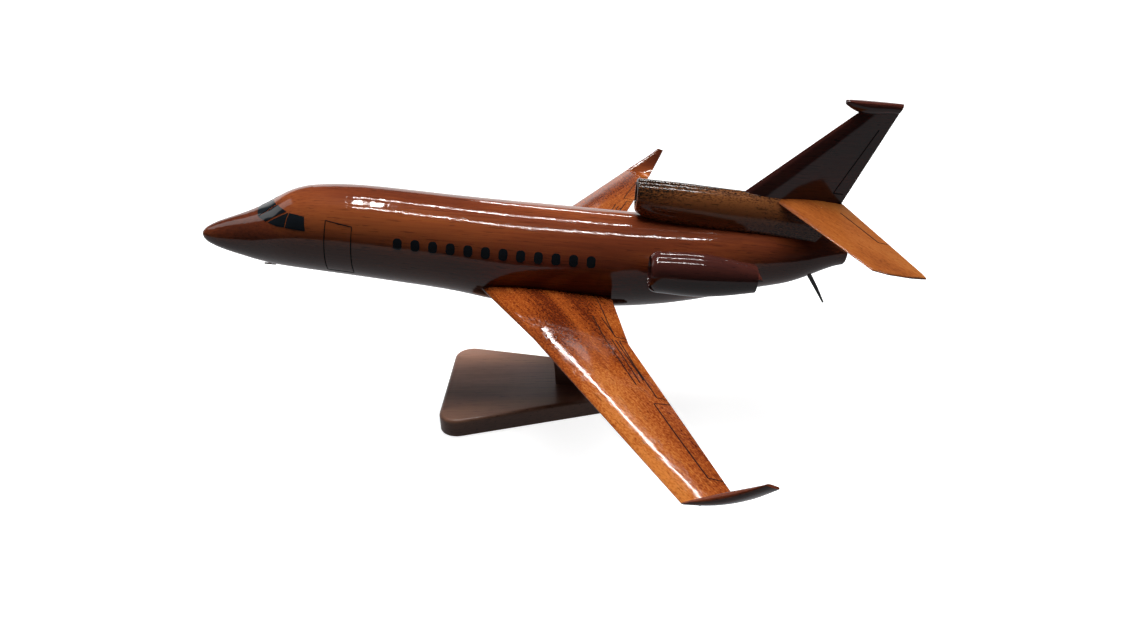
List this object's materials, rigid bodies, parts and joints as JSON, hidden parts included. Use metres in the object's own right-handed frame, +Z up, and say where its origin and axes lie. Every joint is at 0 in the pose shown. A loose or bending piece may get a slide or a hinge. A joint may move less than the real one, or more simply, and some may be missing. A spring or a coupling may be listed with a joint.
{
  "type": "desktop jet model",
  "caption": "Carved wooden desktop model of a swept-wing business jet with winglets and a tail intake, on a peg in a tapered wooden stand",
  "frame": {"origin": "centre of the underside of the felt under the stand's base", "axes": "+Z up, X from the model's nose towards its tail in the stand's plane of symmetry, +Y to the model's starboard side, across the wings"},
  "size_m": [0.4198, 0.4706, 0.1942],
  "materials": {
    "fuselage_mahogany": "gloss varnish over reddish-brown mahogany",
    "wing_mahogany": "gloss varnish over orange-brown ribbon-figured mahogany",
    "pod_mahogany": "gloss varnish over dark red-brown mahogany",
    "duct_dark_wood": "satin varnish over dark coarse-grained wood",
    "stand_mahogany": "satin varnish over straight-grained mahogany",
    "dowel_wood": "bare birch",
    "window_black": "gloss blue-black paint film",
    "antenna_black": "dark painted blade",
    "fitting_metal": "small bent steel pins",
    "peg_steel": "ground steel rod",
    "screw_steel": "zinc-plated wood screws",
    "felt": "pressed felt"
  },
  "bodies": {
    "stand": {"felt_sheet": "felt", "neck_screws": "screw_steel", "stand_base": "stand_mahogany", "stand_neck": "stand_mahogany"},
    "peg": {"support_peg": "peg_steel"},
    "airframe": {"cabin_windows_left": "window_black", "cabin_windows_right": "window_black", "center_engine_duct": "duct_dark_wood", "cockpit_windows": "window_black", "duct_dowels": "dowel_wood", "fin": "pod_mahogany", "fin_dowels": "dowel_wood", "fin_tip_fairing": "pod_mahogany", "fuselage": "fuselage_mahogany", "nacelle_dowels": "dowel_wood", "nacelle_left": "pod_mahogany", "nacelle_right": "pod_mahogany", "nose_probes": "fitting_metal", "pylon_left": "pod_mahogany", "pylon_right": "pod_mahogany", "stabilizer_dowels": "dowel_wood", "stabilizer_left": "wing_mahogany", "stabilizer_right": "wing_mahogany", "tail_antenna": "antenna_black", "wing_dowels": "dowel_wood", "wing_left": "wing_mahogany", "wing_right": "wing_mahogany", "winglet_left": "wing_mahogany", "winglet_pins": "fitting_metal", "winglet_right": "wing_mahogany"}
  },
  "joints": [
    {"name": "peg_swivel", "type": "hinge", "parent": "stand", "child": "peg", "pos_m": [0.019, 0, 0.0711], "axis": [0.1045, 0, 0.9945], "continuous": true},
    {"name": "model_lift", "type": "slide", "parent": "peg", "child": "airframe", "axis": [0.1045, 0, 0.9945], "range_m": [0, 0.02]}
  ]
}
